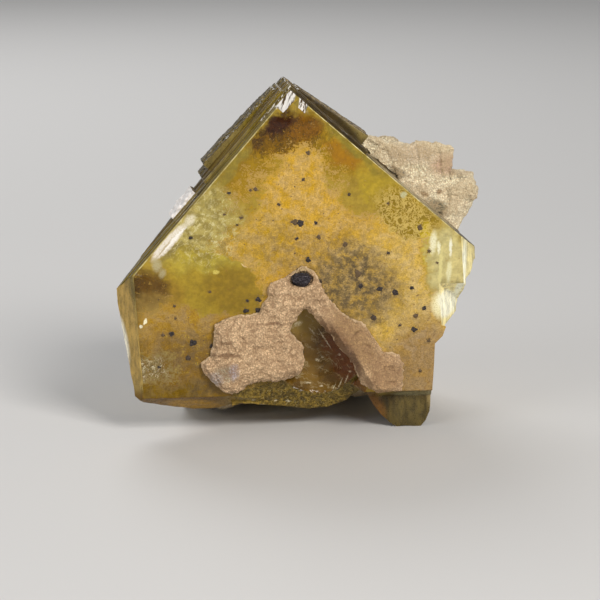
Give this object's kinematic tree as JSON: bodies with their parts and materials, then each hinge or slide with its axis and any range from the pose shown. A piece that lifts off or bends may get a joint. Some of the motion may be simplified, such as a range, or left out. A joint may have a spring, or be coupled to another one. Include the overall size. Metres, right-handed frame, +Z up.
{
  "type": "fluorite specimen",
  "caption": "Broken corner of a yellow fluorite cube on a block of tan matrix rock, with a forked crust of rock and one black grain on its front face.",
  "frame": {"origin": "centre of the box's bottom, on the surface that the specimen stands on", "axes": "+Z up, the crystal's front face looks towards -Y and a little to +X, +X is to the right seen from the front"},
  "size_m": [0.0514, 0.035, 0.0493],
  "materials": {
    "fluorite": "clear to milky yellow, glassy cube faces, dusted with tan sand, splintery white breaks",
    "matrix": "fine sugary tan rock with brown specks",
    "matrix_crust": "fine sugary tan rock",
    "black_mineral": "near-black, rough broken faces, slightly glossy"
  },
  "bodies": {
    "root": {"fluorite_crystal": "fluorite", "matrix_rock": "matrix", "matrix_crust": "matrix_crust", "black_grain": "black_mineral"}
  },
  "joints": []
}
